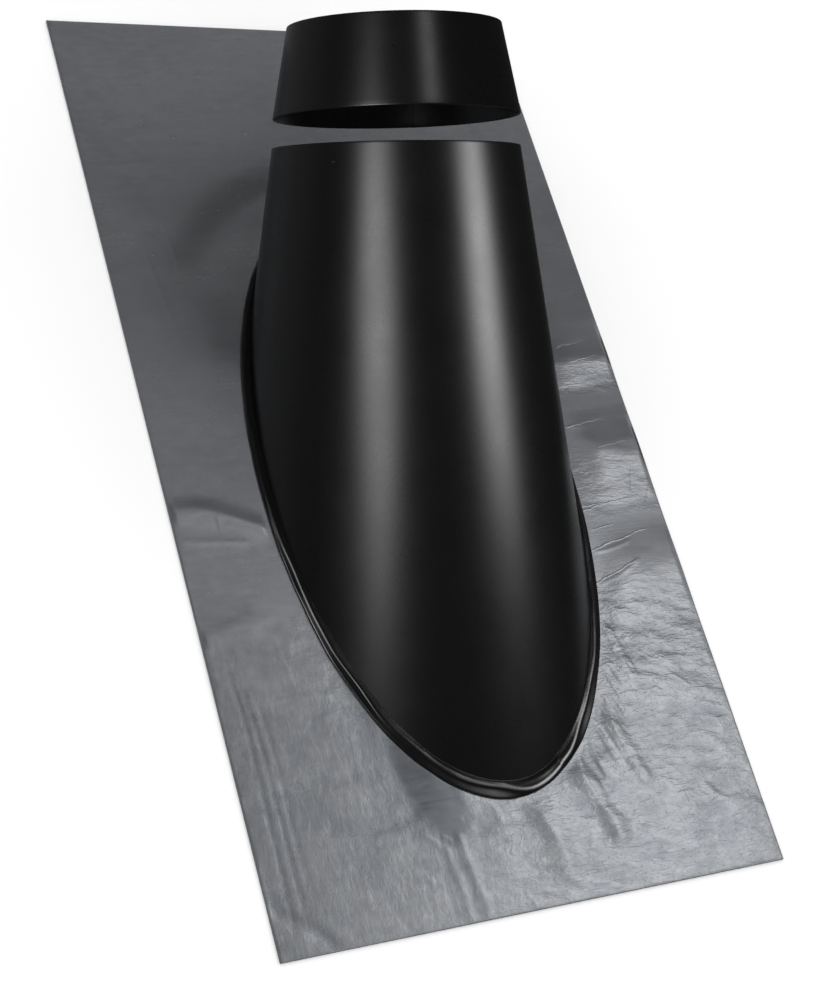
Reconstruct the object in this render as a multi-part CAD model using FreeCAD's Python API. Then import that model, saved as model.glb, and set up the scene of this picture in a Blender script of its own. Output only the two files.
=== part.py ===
import FreeCAD, Part
import math
import os

# Pipe flashing boot for a flue through a pitched roof.
#
# Frame: the apron lies in the XY plane with its underside at z = 0.  +Z is the
# roof's outward normal, +Y points up the roof slope, X runs across the roof.
# The origin is the centre of the apron's underside.  All lengths in millimetres.

# ---- driving dimensions --------------------------------------------------
apron_width = 520.0          # across the roof
apron_length = 950.0         # up the roof
apron_thickness = 2.2        # code 5 milled lead

roof_pitch = 58.0            # degrees between the flue's axis and the roof's normal
axis_foot_y = 18.7           # where the flue's axis meets the apron's top face
cone_axis_length = 252.6     # along the axis, apron's top face to the cone's mouth
cone_mouth_radius = 118.3    # outside, at the mouth
cone_half_angle = 8.38       # degrees
cone_wall = 1.2
cone_lap_angle = 12.0        # width of the back seam's double layer, degrees
cone_lap_centre = 90.0       # the seam faces up the roof
foot_flange = 7.0            # width of the turned-out foot flange
foot_opening_inset = 2.0     # the lead reaches this far inside the cone's foot

band_width = 9.0             # foot seam band, outside the cone's foot
band_height = 5.2
band_edge_round = 3.0

flue_radius = 100.0          # the twin-wall flue that the collar closes on
collar_top_inner_radius = 100.5
collar_wall = 1.0
collar_bottom_radius = 117.9 # outside
collar_height = 84.8
collar_gap = 28.0            # along the axis, cone's mouth to collar's lower edge
collar_tilt = 1.5            # degrees, down-roof edge up, as a loose collar sits
collar_lap_angle = 16.0
collar_lap_centre = 61.6     # degrees about the axis; 90 faces the roof

hang_hole_radius = 1.5       # hole the cone hung from while it was coated
hang_hole_down = 18.0        # along the wall, below the mouth
hang_hole_angle = 214.2      # about the axis, degrees (270 faces down the roof)
collar_hole_radius = 1.2
collar_hole_down = 32.0
collar_hole_angle = 241.4


# ---- frame of the flue's axis -------------------------------------------
def axis_placement(point, lean):
    """Local z along the axis, local x along X, local y towards the roof."""
    a = math.radians(lean)
    z = FreeCAD.Vector(0, math.sin(a), math.cos(a))
    x = FreeCAD.Vector(1, 0, 0)
    y = z.cross(x)
    m = FreeCAD.Matrix(x.x, y.x, z.x, point.x,
                       x.y, y.y, z.y, point.y,
                       x.z, y.z, z.z, point.z,
                       0, 0, 0, 1)
    return FreeCAD.Placement(m)


pitch = math.radians(roof_pitch)
beta = math.radians(cone_half_angle)
axis = FreeCAD.Vector(0, math.sin(pitch), math.cos(pitch))
foot = FreeCAD.Vector(0, axis_foot_y, apron_thickness)
mouth = foot + axis * cone_axis_length


# ---- rolled and lapped cone ---------------------------------------------
def polar(r, deg, z):
    a = math.radians(deg)
    return FreeCAD.Vector(r * math.cos(a), r * math.sin(a), z)


def lapped_section(r, step, step_deg, ease_deg, z):
    """Circle of radius r that eases out by step and drops back at step_deg.

    The curve leaves step_deg at radius r, goes round as a true arc, eases
    out to r + step over ease_deg before it comes back to step_deg, and a
    short radial line closes it.
    """
    start = step_deg
    end = step_deg + 360.0
    ease0 = end - ease_deg
    hold = end - 0.35 * ease_deg
    a0 = polar(r, start, z)
    a1 = polar(r, ease0, z)
    arc = Part.Arc(a0, polar(r, 0.5 * (start + ease0), z), a1).toShape()
    pts = []
    n = 14
    for i in range(n + 1):
        t = i / n
        ang = ease0 + t * (hold - ease0)
        k = t * t * (3 - 2 * t)
        pts.append(polar(r + step * k, ang, z))
    curve = Part.BSplineCurve()
    tan0 = FreeCAD.Vector(-math.sin(math.radians(ease0)), math.cos(math.radians(ease0)), 0)
    tan1 = FreeCAD.Vector(-math.sin(math.radians(hold)), math.cos(math.radians(hold)), 0)
    curve.interpolate(Points=pts, InitialTangent=tan0, FinalTangent=tan1)
    ease = curve.toShape()
    h0 = polar(r + step, hold, z)
    h1 = polar(r + step, end, z)
    held = Part.Arc(h0, polar(r + step, 0.5 * (hold + end), z), h1).toShape()
    close = Part.makeLine(h1, a0)
    return Part.Wire([arc, ease, held, close])


def lapped_solid(r0, z0, r1, z1, step, step_deg, ease_deg):
    w0 = lapped_section(r0, step, step_deg, ease_deg, z0)
    w1 = lapped_section(r1, step, step_deg, ease_deg, z1)
    s = Part.makeLoft([w0, w1], True, True)
    if s.Volume < 0:
        s.reverse()
    return s


def lapped_cone(r_low, z_low, r_high, z_high, wall, lap_deg, centre_deg, over):
    """Outer body and inner void of a cone rolled from sheet with a back lap.

    r_low and r_high are outside radii.  over is how far the void runs past
    each end.
    """
    slope = (r_high - r_low) / (z_high - z_low)
    radial = wall * math.sqrt(1 + slope * slope)
    ease = 46.0
    # the sheet's outer end stops at centre + lap/2, its inner end at centre - lap/2
    outer = lapped_solid(r_low, z_low, r_high, z_high, radial,
                         centre_deg + 0.5 * lap_deg, ease + lap_deg)
    inner = lapped_solid(r_low - radial - over * slope, z_low - over,
                         r_high - radial + over * slope, z_high + over, radial,
                         centre_deg - 0.5 * lap_deg, ease)
    return outer, inner


# ---- flashing cone -------------------------------------------------------
drop = 640.0                                    # far enough to pass the apron
r_drop = cone_mouth_radius + drop * math.tan(beta)
cone_outer, cone_inner = lapped_cone(r_drop, -drop, cone_mouth_radius, 0.0,
                                     cone_wall, cone_lap_angle, cone_lap_centre, 5.0)
place = axis_placement(mouth, roof_pitch)
cone_outer.Placement = place
cone_inner.Placement = place

below = Part.makeBox(2400, 2400, 1200, FreeCAD.Vector(-1200, -1200, apron_thickness - 1200))

apex = mouth + axis * (cone_mouth_radius / math.tan(beta))


def foot_ellipse(z, depth=0.0):
    """Centre y and semi-axes of the ellipse where the cone crosses height z.

    depth is how far under the cone's outside skin, square to the wall.
    """
    tip = apex - axis * (depth / math.sin(beta))
    ya = tip.y - (tip.z - z) * math.tan(pitch + beta)
    yb = tip.y - (tip.z - z) * math.tan(pitch - beta)
    yc = 0.5 * (ya + yb)
    v = FreeCAD.Vector(0, yc - tip.y, z - tip.z)
    d = v.dot(axis)
    a2 = (d * d) / (math.cos(beta) ** 2) - v.dot(v)
    return yc, math.sqrt(a2), 0.5 * (yb - ya)


def elliptic_prism(yc, a, b, z0, height):
    centre = FreeCAD.Vector(0, yc, z0)
    e = Part.Ellipse(FreeCAD.Vector(0, yc + b, z0), FreeCAD.Vector(a, yc, z0), centre)
    face = Part.Face(Part.Wire([e.toShape()]))
    return face.extrude(FreeCAD.Vector(0, 0, height))


yc, ea, eb = foot_ellipse(apron_thickness)
print("foot ellipse centre y %.2f half width %.2f half length %.2f" % (yc, ea, eb))

wall = cone_outer.cut(cone_inner).cut(below)
flange = elliptic_prism(yc, ea + foot_flange, eb + foot_flange, apron_thickness, cone_wall)
flange = flange.cut(cone_inner)
cone = wall.fuse(flange).removeSplitter()

# hang hole through the down-roof side of the wall, square to the sheet
def wall_hole(place, r_end, slope_angle, down, deg, radius, depth, sign=1.0):
    """Cylinder square to a cone's wall; down is measured from the narrow end."""
    b = math.radians(slope_angle)
    r = r_end + down * math.sin(b)
    z = sign * down * math.cos(b)
    p = polar(r, deg, z)
    n = FreeCAD.Vector(math.cos(math.radians(deg)) * math.cos(b),
                       math.sin(math.radians(deg)) * math.cos(b),
                       -sign * math.sin(b))
    c = Part.makeCylinder(radius, 2 * depth, p - n * depth, n)
    c.Placement = place.multiply(c.Placement)
    return c


cone = cone.cut(wall_hole(place, cone_mouth_radius, cone_half_angle,
                          hang_hole_down, hang_hole_angle, hang_hole_radius, 6.0, -1.0))
if cone.ShapeType == "Compound" and len(cone.Solids) == 1:
    cone = cone.Solids[0]

# ---- lead apron ----------------------------------------------------------
apron = Part.makeBox(apron_width, apron_length, apron_thickness,
                     FreeCAD.Vector(-0.5 * apron_width, -0.5 * apron_length, 0))
iyc, ia, ib = foot_ellipse(apron_thickness, cone_wall)
apron = apron.cut(elliptic_prism(iyc, ia - foot_opening_inset, ib - foot_opening_inset,
                                 -5.0, apron_thickness + 10.0))

# ---- foot seam band ------------------------------------------------------
block = elliptic_prism(yc, ea + band_width, eb + band_width, apron_thickness, band_height)
top_edges = [e for e in block.Edges
             if abs(e.BoundBox.ZMin - (apron_thickness + band_height)) < 1e-4
             and abs(e.BoundBox.ZMax - (apron_thickness + band_height)) < 1e-4]
block = block.makeFillet(band_edge_round, top_edges)
band = block.cut(cone_outer).cut(flange)
if len(band.Solids) == 1:
    band = band.Solids[0]

# ---- storm collar --------------------------------------------------------
collar_top_radius = collar_top_inner_radius
slope = (collar_bottom_radius - collar_top_inner_radius) / collar_height
collar_radial = collar_wall * math.sqrt(1 + slope * slope)
collar_top_radius = collar_top_inner_radius + collar_radial
c_outer, c_inner = lapped_cone(collar_bottom_radius, 0.0, collar_top_radius, collar_height,
                               collar_wall, collar_lap_angle, collar_lap_centre, 5.0)
# the collar tips about its small end's centre, which stays on the flue's axis
collar_axis_lean = roof_pitch + collar_tilt
ca = math.radians(collar_axis_lean)
collar_axis = FreeCAD.Vector(0, math.sin(ca), math.cos(ca))
collar_top_centre = mouth + axis * (collar_gap + collar_height)
collar_low_centre = collar_top_centre - collar_axis * collar_height
collar_place = axis_placement(collar_low_centre, collar_axis_lean)
collar = c_outer.cut(c_inner)
collar.Placement = collar_place
collar_angle = math.degrees(math.atan((collar_bottom_radius - collar_top_radius) / collar_height))
top_place = axis_placement(collar_top_centre, collar_axis_lean)
collar = collar.cut(wall_hole(top_place, collar_top_radius, collar_angle,
                              collar_hole_down, collar_hole_angle, collar_hole_radius, 5.0, -1.0))
if len(collar.Solids) == 1:
    collar = collar.Solids[0]

# ---- write ---------------------------------------------------------------
os.makedirs("parts", exist_ok=True)
nodes = {
    "lead_apron": apron,
    "flashing_cone": cone,
    "foot_seam_band": band,
    "storm_collar": collar,
}
for name, shape in nodes.items():
    shape.exportStep("parts/" + name + ".step")
    bb = shape.optimalBoundingBox(True, False)
    print("%-16s solids %d valid %s volume %.1f mm3 x %.1f..%.1f y %.1f..%.1f z %.1f..%.1f" % (
        name, len(shape.Solids), shape.isValid(), shape.Volume,
        bb.XMin, bb.XMax, bb.YMin, bb.YMax, bb.ZMin, bb.ZMax))
print("mouth centre", mouth, "collar low", collar_low_centre, "collar top", collar_top_centre)
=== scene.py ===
import math

import bpy
import numpy as np
from mathutils import Matrix, Vector


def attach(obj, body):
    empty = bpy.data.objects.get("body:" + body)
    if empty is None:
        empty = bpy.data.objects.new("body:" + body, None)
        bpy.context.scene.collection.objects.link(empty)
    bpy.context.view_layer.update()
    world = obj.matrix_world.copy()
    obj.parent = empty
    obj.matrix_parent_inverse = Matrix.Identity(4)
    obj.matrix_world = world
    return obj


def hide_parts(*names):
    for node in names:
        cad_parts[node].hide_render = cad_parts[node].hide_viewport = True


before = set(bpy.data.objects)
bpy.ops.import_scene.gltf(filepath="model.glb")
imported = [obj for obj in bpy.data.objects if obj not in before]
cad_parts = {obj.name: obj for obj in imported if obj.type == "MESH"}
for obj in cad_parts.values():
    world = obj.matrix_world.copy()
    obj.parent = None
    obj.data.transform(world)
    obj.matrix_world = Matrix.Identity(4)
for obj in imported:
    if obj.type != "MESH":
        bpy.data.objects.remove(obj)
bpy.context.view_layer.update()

# Pipe flashing boot.  Everything below is worked out in millimetres in the
# CAD frame and handed to Blender in metres.

MM = 0.001
TAU = 2.0 * math.pi

apron_w, apron_l, apron_t = 520.0, 950.0, 2.2
pitch = math.radians(58.0)
beta = math.radians(8.38)
mouth_r = 118.3
cone_wall = 1.2
U = np.array([0.0, math.sin(pitch), math.cos(pitch)])
E1 = np.array([1.0, 0.0, 0.0])
E2 = np.array([0.0, math.cos(pitch), -math.sin(pitch)])
MOUTH = np.array([0.0, 18.7, apron_t]) + U * 252.6
APEX = MOUTH + U * (mouth_r / math.tan(beta))

scene = bpy.context.scene
scene.view_settings.view_transform = "Standard"
scene.view_settings.look = "None"


# ---------------------------------------------------------------- camera
cam_data = bpy.data.cameras.new("camera")
cam_data.sensor_fit = "AUTO"
cam_data.sensor_width = 36.0
cam_data.lens = 69.29
cam = bpy.data.objects.new("camera", cam_data)
scene.collection.objects.link(cam)
cam.matrix_world = Matrix((
    (0.8777091, 0.0752255, -0.4732524, -0.87814),
    (-0.2679492, 0.8958212, -0.3545527, -0.72090),
    (0.3972781, 0.4380017, 0.8064270, 1.47186),
    (0.0, 0.0, 0.0, 1.0)))
scene.camera = cam


# ---------------------------------------------------------------- helpers
def smooth(a, b, x):
    t = np.clip((np.asarray(x, float) - a) / (b - a), 0.0, 1.0)
    return t * t * (3.0 - 2.0 * t)


def ramp(t, e=0.14):
    """0 to 1 at an even slope, rounded over the share e at both ends."""
    t = np.clip(np.asarray(t, float), 0.0, 1.0)
    k = np.where(t < e, t * t / (2 * e),
                 np.where(t < 1 - e, t - 0.5 * e, (1 - e) - (1 - t) ** 2 / (2 * e)))
    return k / (1 - e)


def hill(x, a, b, c, d):
    """0 up to a, 1 from b to c, 0 from d on."""
    return smooth(a, b, x) * (1.0 - smooth(c, d, x))


def lattice(seed, n=64):
    return np.random.RandomState(seed).uniform(-1.0, 1.0, (n, n))


def vnoise(x, y, seed):
    """Smooth value noise, about -1..1, one feature per unit."""
    g = lattice(seed)
    n = g.shape[0]
    xi, yi = np.floor(x).astype(int), np.floor(y).astype(int)
    fx, fy = x - xi, y - yi
    fx = fx * fx * fx * (fx * (fx * 6 - 15) + 10)
    fy = fy * fy * fy * (fy * (fy * 6 - 15) + 10)
    a, b = g[xi % n, yi % n], g[(xi + 1) % n, yi % n]
    c, d = g[xi % n, (yi + 1) % n], g[(xi + 1) % n, (yi + 1) % n]
    return (a * (1 - fx) + b * fx) * (1 - fy) + (c * (1 - fx) + d * fx) * fy


def fnoise(x, y, sx, sy, seed, octaves=3, gain=0.5, turn=0.0):
    """Fractal noise with features sx by sy mm, turned by turn degrees."""
    c, s = math.cos(math.radians(turn)), math.sin(math.radians(turn))
    u, v = (x * c + y * s) / sx, (-x * s + y * c) / sy
    out, amp, tot = 0.0, 1.0, 0.0
    for k in range(octaves):
        out = out + amp * vnoise(u + 13.7 * k, v + 7.1 * k, seed + k)
        tot += amp
        amp *= gain
        u, v = u * 2.03, v * 2.03
    return out / tot


def poly_dist(x, y, pts):
    """Distance to a polyline, signed side, and place along it from 0 to 1."""
    pts = np.array(pts, float)
    seg = np.linalg.norm(np.diff(pts, axis=0), axis=1)
    total, run = seg.sum(), 0.0
    best = np.full(x.shape, 1e9)
    side = np.zeros(x.shape)
    along = np.zeros(x.shape)
    for i in range(len(pts) - 1):
        a, b = pts[i], pts[i + 1]
        d = (b - a) / seg[i]
        t = np.clip(((x - a[0]) * d[0] + (y - a[1]) * d[1]), 0, seg[i])
        px, py = a[0] + d[0] * t, a[1] + d[1] * t
        r = np.hypot(x - px, y - py)
        m = r < best
        best = np.where(m, r, best)
        side = np.where(m, np.sign(d[0] * (y - a[1]) - d[1] * (x - a[0])), side)
        along = np.where(m, (run + t) / total, along)
        run += seg[i]
    return best, side, along


def curve_through(pts, n):
    """Catmull-Rom points through pts."""
    p = np.array(pts, float)
    p = np.vstack([2 * p[0] - p[1], p, 2 * p[-1] - p[-2]])
    out = []
    m = len(p) - 3
    for i in range(m):
        a, b, c, d = p[i], p[i + 1], p[i + 2], p[i + 3]
        for t in np.linspace(0, 1, n, endpoint=False):
            out.append(0.5 * ((2 * b) + (c - a) * t + (2 * a - 5 * b + 4 * c - d) * t * t
                              + (3 * b - a - 3 * c + d) * t ** 3))
    out.append(p[-2])
    return np.array(out)


def make_object(name, verts_mm, faces, material):
    me = bpy.data.meshes.new(name)
    v = np.asarray(verts_mm, float) * MM
    faces = [f for f in faces if len(f)]
    if isinstance(faces, list) and len(faces) == 1:
        faces = faces[0]
    else:
        faces = [tuple(f) for block in faces for f in block]
    me.from_pydata(v.tolist(), [], [tuple(int(i) for i in f) for f in faces])
    me.validate()
    me.update()
    me.polygons.foreach_set("use_smooth", [True] * len(me.polygons))
    me.materials.append(material)
    ob = bpy.data.objects.new(name, me)
    scene.collection.objects.link(ob)
    return ob


def torus_faces(nr, nc, start=0, flip=False, wrap_rows=True):
    """Quads of nr rings of nc columns; both directions may close."""
    r = np.arange(nr if wrap_rows else nr - 1)
    c = np.arange(nc)
    R, C = np.meshgrid(r, c, indexing="ij")
    a = R * nc + C
    b = R * nc + (C + 1) % nc
    R2 = (R + 1) % nr
    d = R2 * nc + C
    e = R2 * nc + (C + 1) % nc
    q = np.stack([a, b, e, d], -1).reshape(-1, 4) + start
    return q[:, ::-1] if flip else q


# ---------------------------------------------------------------- materials
def new_material(name):
    m = bpy.data.materials.new(name)
    m.use_nodes = True
    nt = m.node_tree
    bsdf = next(n for n in nt.nodes if n.type == "BSDF_PRINCIPLED")
    return m, nt, bsdf


def noise_node(nt, vec, scale, detail=2.0, rough=0.5, distortion=0.0):
    n = nt.nodes.new("ShaderNodeTexNoise")
    n.inputs["Scale"].default_value = scale
    n.inputs["Detail"].default_value = detail
    n.inputs["Roughness"].default_value = rough
    n.inputs["Distortion"].default_value = distortion
    nt.links.new(vec, n.inputs["Vector"])
    return n


def mapped(nt, coord, scale=(1, 1, 1), rot=(0, 0, 0)):
    m = nt.nodes.new("ShaderNodeMapping")
    m.inputs["Scale"].default_value = scale
    m.inputs["Rotation"].default_value = rot
    nt.links.new(coord, m.inputs["Vector"])
    return m.outputs["Vector"]


def map_range(nt, value, a, b, lo, hi, smoothed=False):
    m = nt.nodes.new("ShaderNodeMapRange")
    m.interpolation_type = "SMOOTHSTEP" if smoothed else "LINEAR"
    m.inputs["From Min"].default_value = a
    m.inputs["From Max"].default_value = b
    m.inputs["To Min"].default_value = lo
    m.inputs["To Max"].default_value = hi
    nt.links.new(value, m.inputs["Value"])
    return m.outputs["Result"]


def math_node(nt, op, a, b):
    m = nt.nodes.new("ShaderNodeMath")
    m.operation = op
    for i, v in enumerate((a, b)):
        if isinstance(v, (int, float)):
            m.inputs[i].default_value = v
        else:
            nt.links.new(v, m.inputs[i])
    return m.outputs[0]


def bump_node(nt, height, strength, distance, normal=None):
    b = nt.nodes.new("ShaderNodeBump")
    b.inputs["Strength"].default_value = strength
    b.inputs["Distance"].default_value = distance
    nt.links.new(height, b.inputs["Height"])
    if normal is not None:
        nt.links.new(normal, b.inputs["Normal"])
    return b.outputs["Normal"]


def mix_color(nt, fac, c1, c2):
    m = nt.nodes.new("ShaderNodeMix")
    m.data_type = "RGBA"
    nt.links.new(fac, m.inputs["Factor"])
    m.inputs["A"].default_value = (*c1, 1.0)
    m.inputs["B"].default_value = (*c2, 1.0)
    return m.outputs["Result"]


def coat_material(name, base_lo, base_hi, rough_lo, rough_hi, specular, grain, grain_scale):
    m, nt, bsdf = new_material(name)
    obj = nt.nodes.new("ShaderNodeTexCoord").outputs["Object"]
    cloud = noise_node(nt, obj, 24.0, 3.0, 0.6)
    fine = noise_node(nt, obj, grain_scale, 2.0, 0.6)
    speck = noise_node(nt, obj, grain_scale * 2.3, 1.0, 0.5)
    nt.links.new(mix_color(nt, map_range(nt, speck.outputs["Fac"], 0.35, 0.65, 0.0, 1.0),
                           base_lo, base_hi), bsdf.inputs["Base Color"])
    r = math_node(nt, "ADD",
                  map_range(nt, cloud.outputs["Fac"], 0.3, 0.7, rough_lo, rough_hi),
                  map_range(nt, fine.outputs["Fac"], 0.3, 0.7, -0.02, 0.02))
    nt.links.new(r, bsdf.inputs["Roughness"])
    bsdf.inputs["Specular IOR Level"].default_value = specular
    nt.links.new(bump_node(nt, fine.outputs["Fac"], grain, 0.0002), bsdf.inputs["Normal"])
    return m


black_coat = coat_material("satin_black_coat", (0.0026, 0.0026, 0.0029), (0.0044, 0.0044, 0.0048),
                           0.27, 0.30, 0.40, 0.10, 1400.0)
gloss_black = coat_material("gloss_black_sealant", (0.0030, 0.0030, 0.0035), (0.0048, 0.0048, 0.0056),
                            0.20, 0.27, 0.45, 0.04, 700.0)


def lead_material():
    m, nt, bsdf = new_material("milled_lead")
    obj = nt.nodes.new("ShaderNodeTexCoord").outputs["Object"]
    xyz = nt.nodes.new("ShaderNodeSeparateXYZ")
    nt.links.new(obj, xyz.inputs[0])
    x, y = xyz.outputs["X"], xyz.outputs["Y"]
    mul = lambda a, b: math_node(nt, "MULTIPLY", a, b)
    add = lambda a, b: math_node(nt, "ADD", a, b)
    # how worked the sheet is: handled most at its lower right
    low = map_range(nt, y, -0.12, -0.22, 0.0, 1.0, True)
    right = map_range(nt, x, -0.16, 0.08, 0.30, 1.0, True)
    worked = mul(map_range(nt, y, -0.140, -0.218, 0.0, 1.0, True), right)
    # two patches on the right are dressed as well
    patch = add(mul(map_range(nt, y, -0.118, -0.098, 0.0, 1.0, True), map_range(nt, y, -0.030, -0.050, 0.0, 1.0, True)),
                mul(map_range(nt, y, 0.022, 0.034, 0.0, 1.0, True), map_range(nt, y, 0.074, 0.060, 0.0, 1.0, True)))
    worked = add(worked, mul(patch, map_range(nt, x, 0.145, 0.190, 0.0, 0.55, True)))
    plain = math_node(nt, "SUBTRACT", 1.0, worked)
    # a smooth, undressed place beside the foot's lower left; its colour is drawn darker and bluer there, with a darker
    # fringe on its left, a painted dark reflection
    cx = mul(add(add(x, 0.084), mul(add(y, 0.345), 0.22)), 1.0 / 0.026)
    cy = mul(add(y, 0.345), 1.0 / 0.056)
    calm = map_range(nt, add(mul(cx, cx), mul(cy, cy)), 1.7, 0.5, 0.0, 1.0, True)
    busy = math_node(nt, "SUBTRACT", 1.0, calm)
    worked = mul(worked, busy)
    # painted shade: the mesh's hollows are drawn darker in colour, and a little rougher
    relief = nt.nodes.new("ShaderNodeAttribute")
    relief.attribute_name = "relief"
    hollow = map_range(nt, relief.outputs["Fac"], 0.35, -0.45, 0.0, 1.0, True)

    rollers = noise_node(nt, mapped(nt, obj, (5.0, 520.0, 5.0)), 1.0, 3.0, 0.62)
    cloud = noise_node(nt, mapped(nt, obj, (7.0, 15.0, 7.0)), 1.0, 4.0, 0.6, 0.6)
    blotch = noise_node(nt, mapped(nt, obj, (60.0, 150.0, 60.0), (0, 0, math.radians(-10))), 1.0, 5.0, 0.66, 0.5)
    upright = noise_node(nt, mapped(nt, obj, (170.0, 85.0, 60.0), (0, 0, math.radians(3))), 1.0, 5.0, 0.66, 0.5)
    mottle = noise_node(nt, mapped(nt, obj, (48.0, 40.0, 40.0)), 1.0, 4.0, 0.6, 0.8)
    crinkle = noise_node(nt, mapped(nt, obj, (70.0, 190.0, 70.0), (0, 0, math.radians(-10))),
                         1.0, 4.0, 0.55, 0.6)
    folds = noise_node(nt, mapped(nt, obj, (30.0, 85.0, 30.0), (0, 0, math.radians(-14))),
                       1.0, 2.0, 0.5, 0.9)
    fine = noise_node(nt, mapped(nt, obj, (900.0, 1700.0, 900.0)), 1.0, 2.0, 0.55)
    pits = noise_node(nt, mapped(nt, obj, (420.0, 420.0, 420.0)), 1.0, 1.0, 0.4)

    tone = add(map_range(nt, cloud.outputs["Fac"], 0.25, 0.75, -0.02, 0.46),
               map_range(nt, blotch.outputs["Fac"], 0.25, 0.75, -0.06, 0.48))
    tone = add(tone, map_range(nt, rollers.outputs["Fac"], 0.3, 0.7, -0.08, 0.08))
    tone = add(tone, mul(low, map_range(nt, mottle.outputs["Fac"], 0.30, 0.70, -0.28, 0.28)))
    # painted shade in the hollows of the sheet
    tone = add(tone, mul(hollow, -0.40))
    pit = mul(map_range(nt, pits.outputs["Fac"], 0.31, 0.25, 0.0, 1.0), worked)
    tone = add(tone, mul(pit, -0.5))
    # painted dark reflection: the smooth place and a fringe on its left are drawn darker and bluer
    tone = add(tone, mul(calm, -0.45))
    dark_reflection_mix = nt.nodes.new("ShaderNodeMix")
    dark_reflection_mix.data_type = "RGBA"
    dark_reflection_fringe = mul(map_range(nt, add(mul(cx, cx), mul(cy, cy)), 7.0, 1.5, 0.0, 0.5, True),
               map_range(nt, cx, 0.6, -0.6, 0.0, 1.0, True))
    nt.links.new(add(mul(calm, 0.85), dark_reflection_fringe), dark_reflection_mix.inputs["Factor"])
    nt.links.new(mix_color(nt, tone, (0.345, 0.362, 0.390), (0.490, 0.500, 0.520)), dark_reflection_mix.inputs["A"])
    dark_reflection_mix.inputs["B"].default_value = (0.232, 0.247, 0.268, 1.0)
    nt.links.new(dark_reflection_mix.outputs["Result"], bsdf.inputs["Base Color"])
    bsdf.inputs["Metallic"].default_value = 0.90
    r = add(map_range(nt, cloud.outputs["Fac"], 0.25, 0.75, 0.18, 0.25),
            map_range(nt, rollers.outputs["Fac"], 0.3, 0.7, -0.02, 0.02))
    r = add(r, map_range(nt, blotch.outputs["Fac"], 0.3, 0.7, 0.025, -0.025))
    r = add(r, mul(worked, 0.02))
    r = add(r, mul(calm, -0.09))
    r = add(r, mul(hollow, 0.05))
    nt.links.new(r, bsdf.inputs["Roughness"])

    sharp = map_range(nt, math_node(nt, "ABSOLUTE", math_node(nt, "SUBTRACT", folds.outputs["Fac"], 0.5), 0.0),
                      0.0, 0.05, 1.0, 0.0, True)
    h = mul(rollers.outputs["Fac"], mul(plain, 0.10))
    h = add(h, mul(upright.outputs["Fac"], mul(mul(low, busy), mul(math_node(nt, "SUBTRACT", 1.3, right), 0.75))))
    h = add(h, mul(crinkle.outputs["Fac"], mul(worked, 1.15)))
    h = add(h, mul(sharp, mul(worked, 0.16)))
    h = add(h, mul(fine.outputs["Fac"], 0.030))
    h = add(h, mul(pit, -0.14))
    # thin scores from handling: ends in millimetres, half width, depth
    for ax, ay, bx, by, wd, hgt in (
            (196, 81, 238, 88, 1.1, 0.30), (177, -10, 231, -2, 1.1, 0.34), (160, -98, 241, -92, 1.0, 0.30),
            (160, -104, 209, -93, 1.1, 0.34), (155, -147, 238, -126, 1.2, 0.42), (150, -181, 214, -159, 1.2, 0.40),
            (237, -62, 227, -90, 0.9, 0.24), (256, -75, 242, -103, 0.9, 0.22), (186, 36, 214, 39, 0.9, 0.20),
            (204, -36, 246, -30, 0.9, 0.18), (168, -124, 198, -118, 0.9, 0.24), (205, 62, 250, 71, 0.9, 0.18)):
        place = nt.nodes.new("ShaderNodeMapping")
        place.vector_type = "TEXTURE"
        place.inputs["Location"].default_value = (ax * MM, ay * MM, 0.0)
        place.inputs["Rotation"].default_value = (0.0, 0.0, math.atan2(by - ay, bx - ax))
        place.inputs["Scale"].default_value = (math.hypot(bx - ax, by - ay) * MM, wd * MM, 1.0)
        nt.links.new(obj, place.inputs["Vector"])
        cut = nt.nodes.new("ShaderNodeSeparateXYZ")
        nt.links.new(place.outputs["Vector"], cut.inputs[0])
        u, v = cut.outputs["X"], cut.outputs["Y"]
        v = add(v, map_range(nt, mottle.outputs["Fac"], 0.3, 0.7, -1.2, 1.2))
        line = mul(mul(map_range(nt, u, 0.0, 0.12, 0.0, 1.0, True), map_range(nt, u, 1.0, 0.80, 0.0, 1.0, True)),
                   map_range(nt, math_node(nt, "ABSOLUTE", v, 0.0), 0.0, 1.0, 1.0, 0.0, True))
        h = add(h, mul(line, hgt))
    nt.links.new(bump_node(nt, h, 1.0, 0.0004), bsdf.inputs["Normal"])
    return m


lead = lead_material()


# ---------------------------------------------------------------- cone of the flue
def foot_ellipse(z, depth=0.0):
    tip = APEX - U * (depth / math.sin(beta))
    ya = tip[1] - (tip[2] - z) * math.tan(pitch + beta)
    yb = tip[1] - (tip[2] - z) * math.tan(pitch - beta)
    yc = 0.5 * (ya + yb)
    d = (yc - tip[1]) * U[1] + (z - tip[2]) * U[2]
    a2 = (d / math.cos(beta)) ** 2 - (yc - tip[1]) ** 2 - (z - tip[2]) ** 2
    return yc, math.sqrt(a2), 0.5 * (yb - ya)


def lap_rise(deg, end, ease):
    """How far a lapped sheet has eased out at deg; it drops back at end."""
    t = (np.asarray(deg, float) - (end - ease)) % 360.0
    run = 0.65 * ease
    return np.where(t < run, smooth(0.0, run, t), np.where(t < ease, 1.0, 0.0))


def lapped_columns(base, centre, lap, extra):
    """Column angles with close pairs at both ends of the lap."""
    ends = (centre + 0.5 * lap, centre - 0.5 * lap)
    d = list(base)
    for e in ends:
        d = [a for a in d if abs((a - e + 180) % 360 - 180) > 0.45]
        d += [e - 0.42, e - 0.10, e - 0.012, e + 0.012, e + 0.10, e + 0.42]
    for lo, hi, cols in extra:
        d = [a for a in d if not (lo - 0.5 < a < hi + 0.5)]
        d += list(cols)
    return np.array(sorted(a % 360.0 for a in d))


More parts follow.
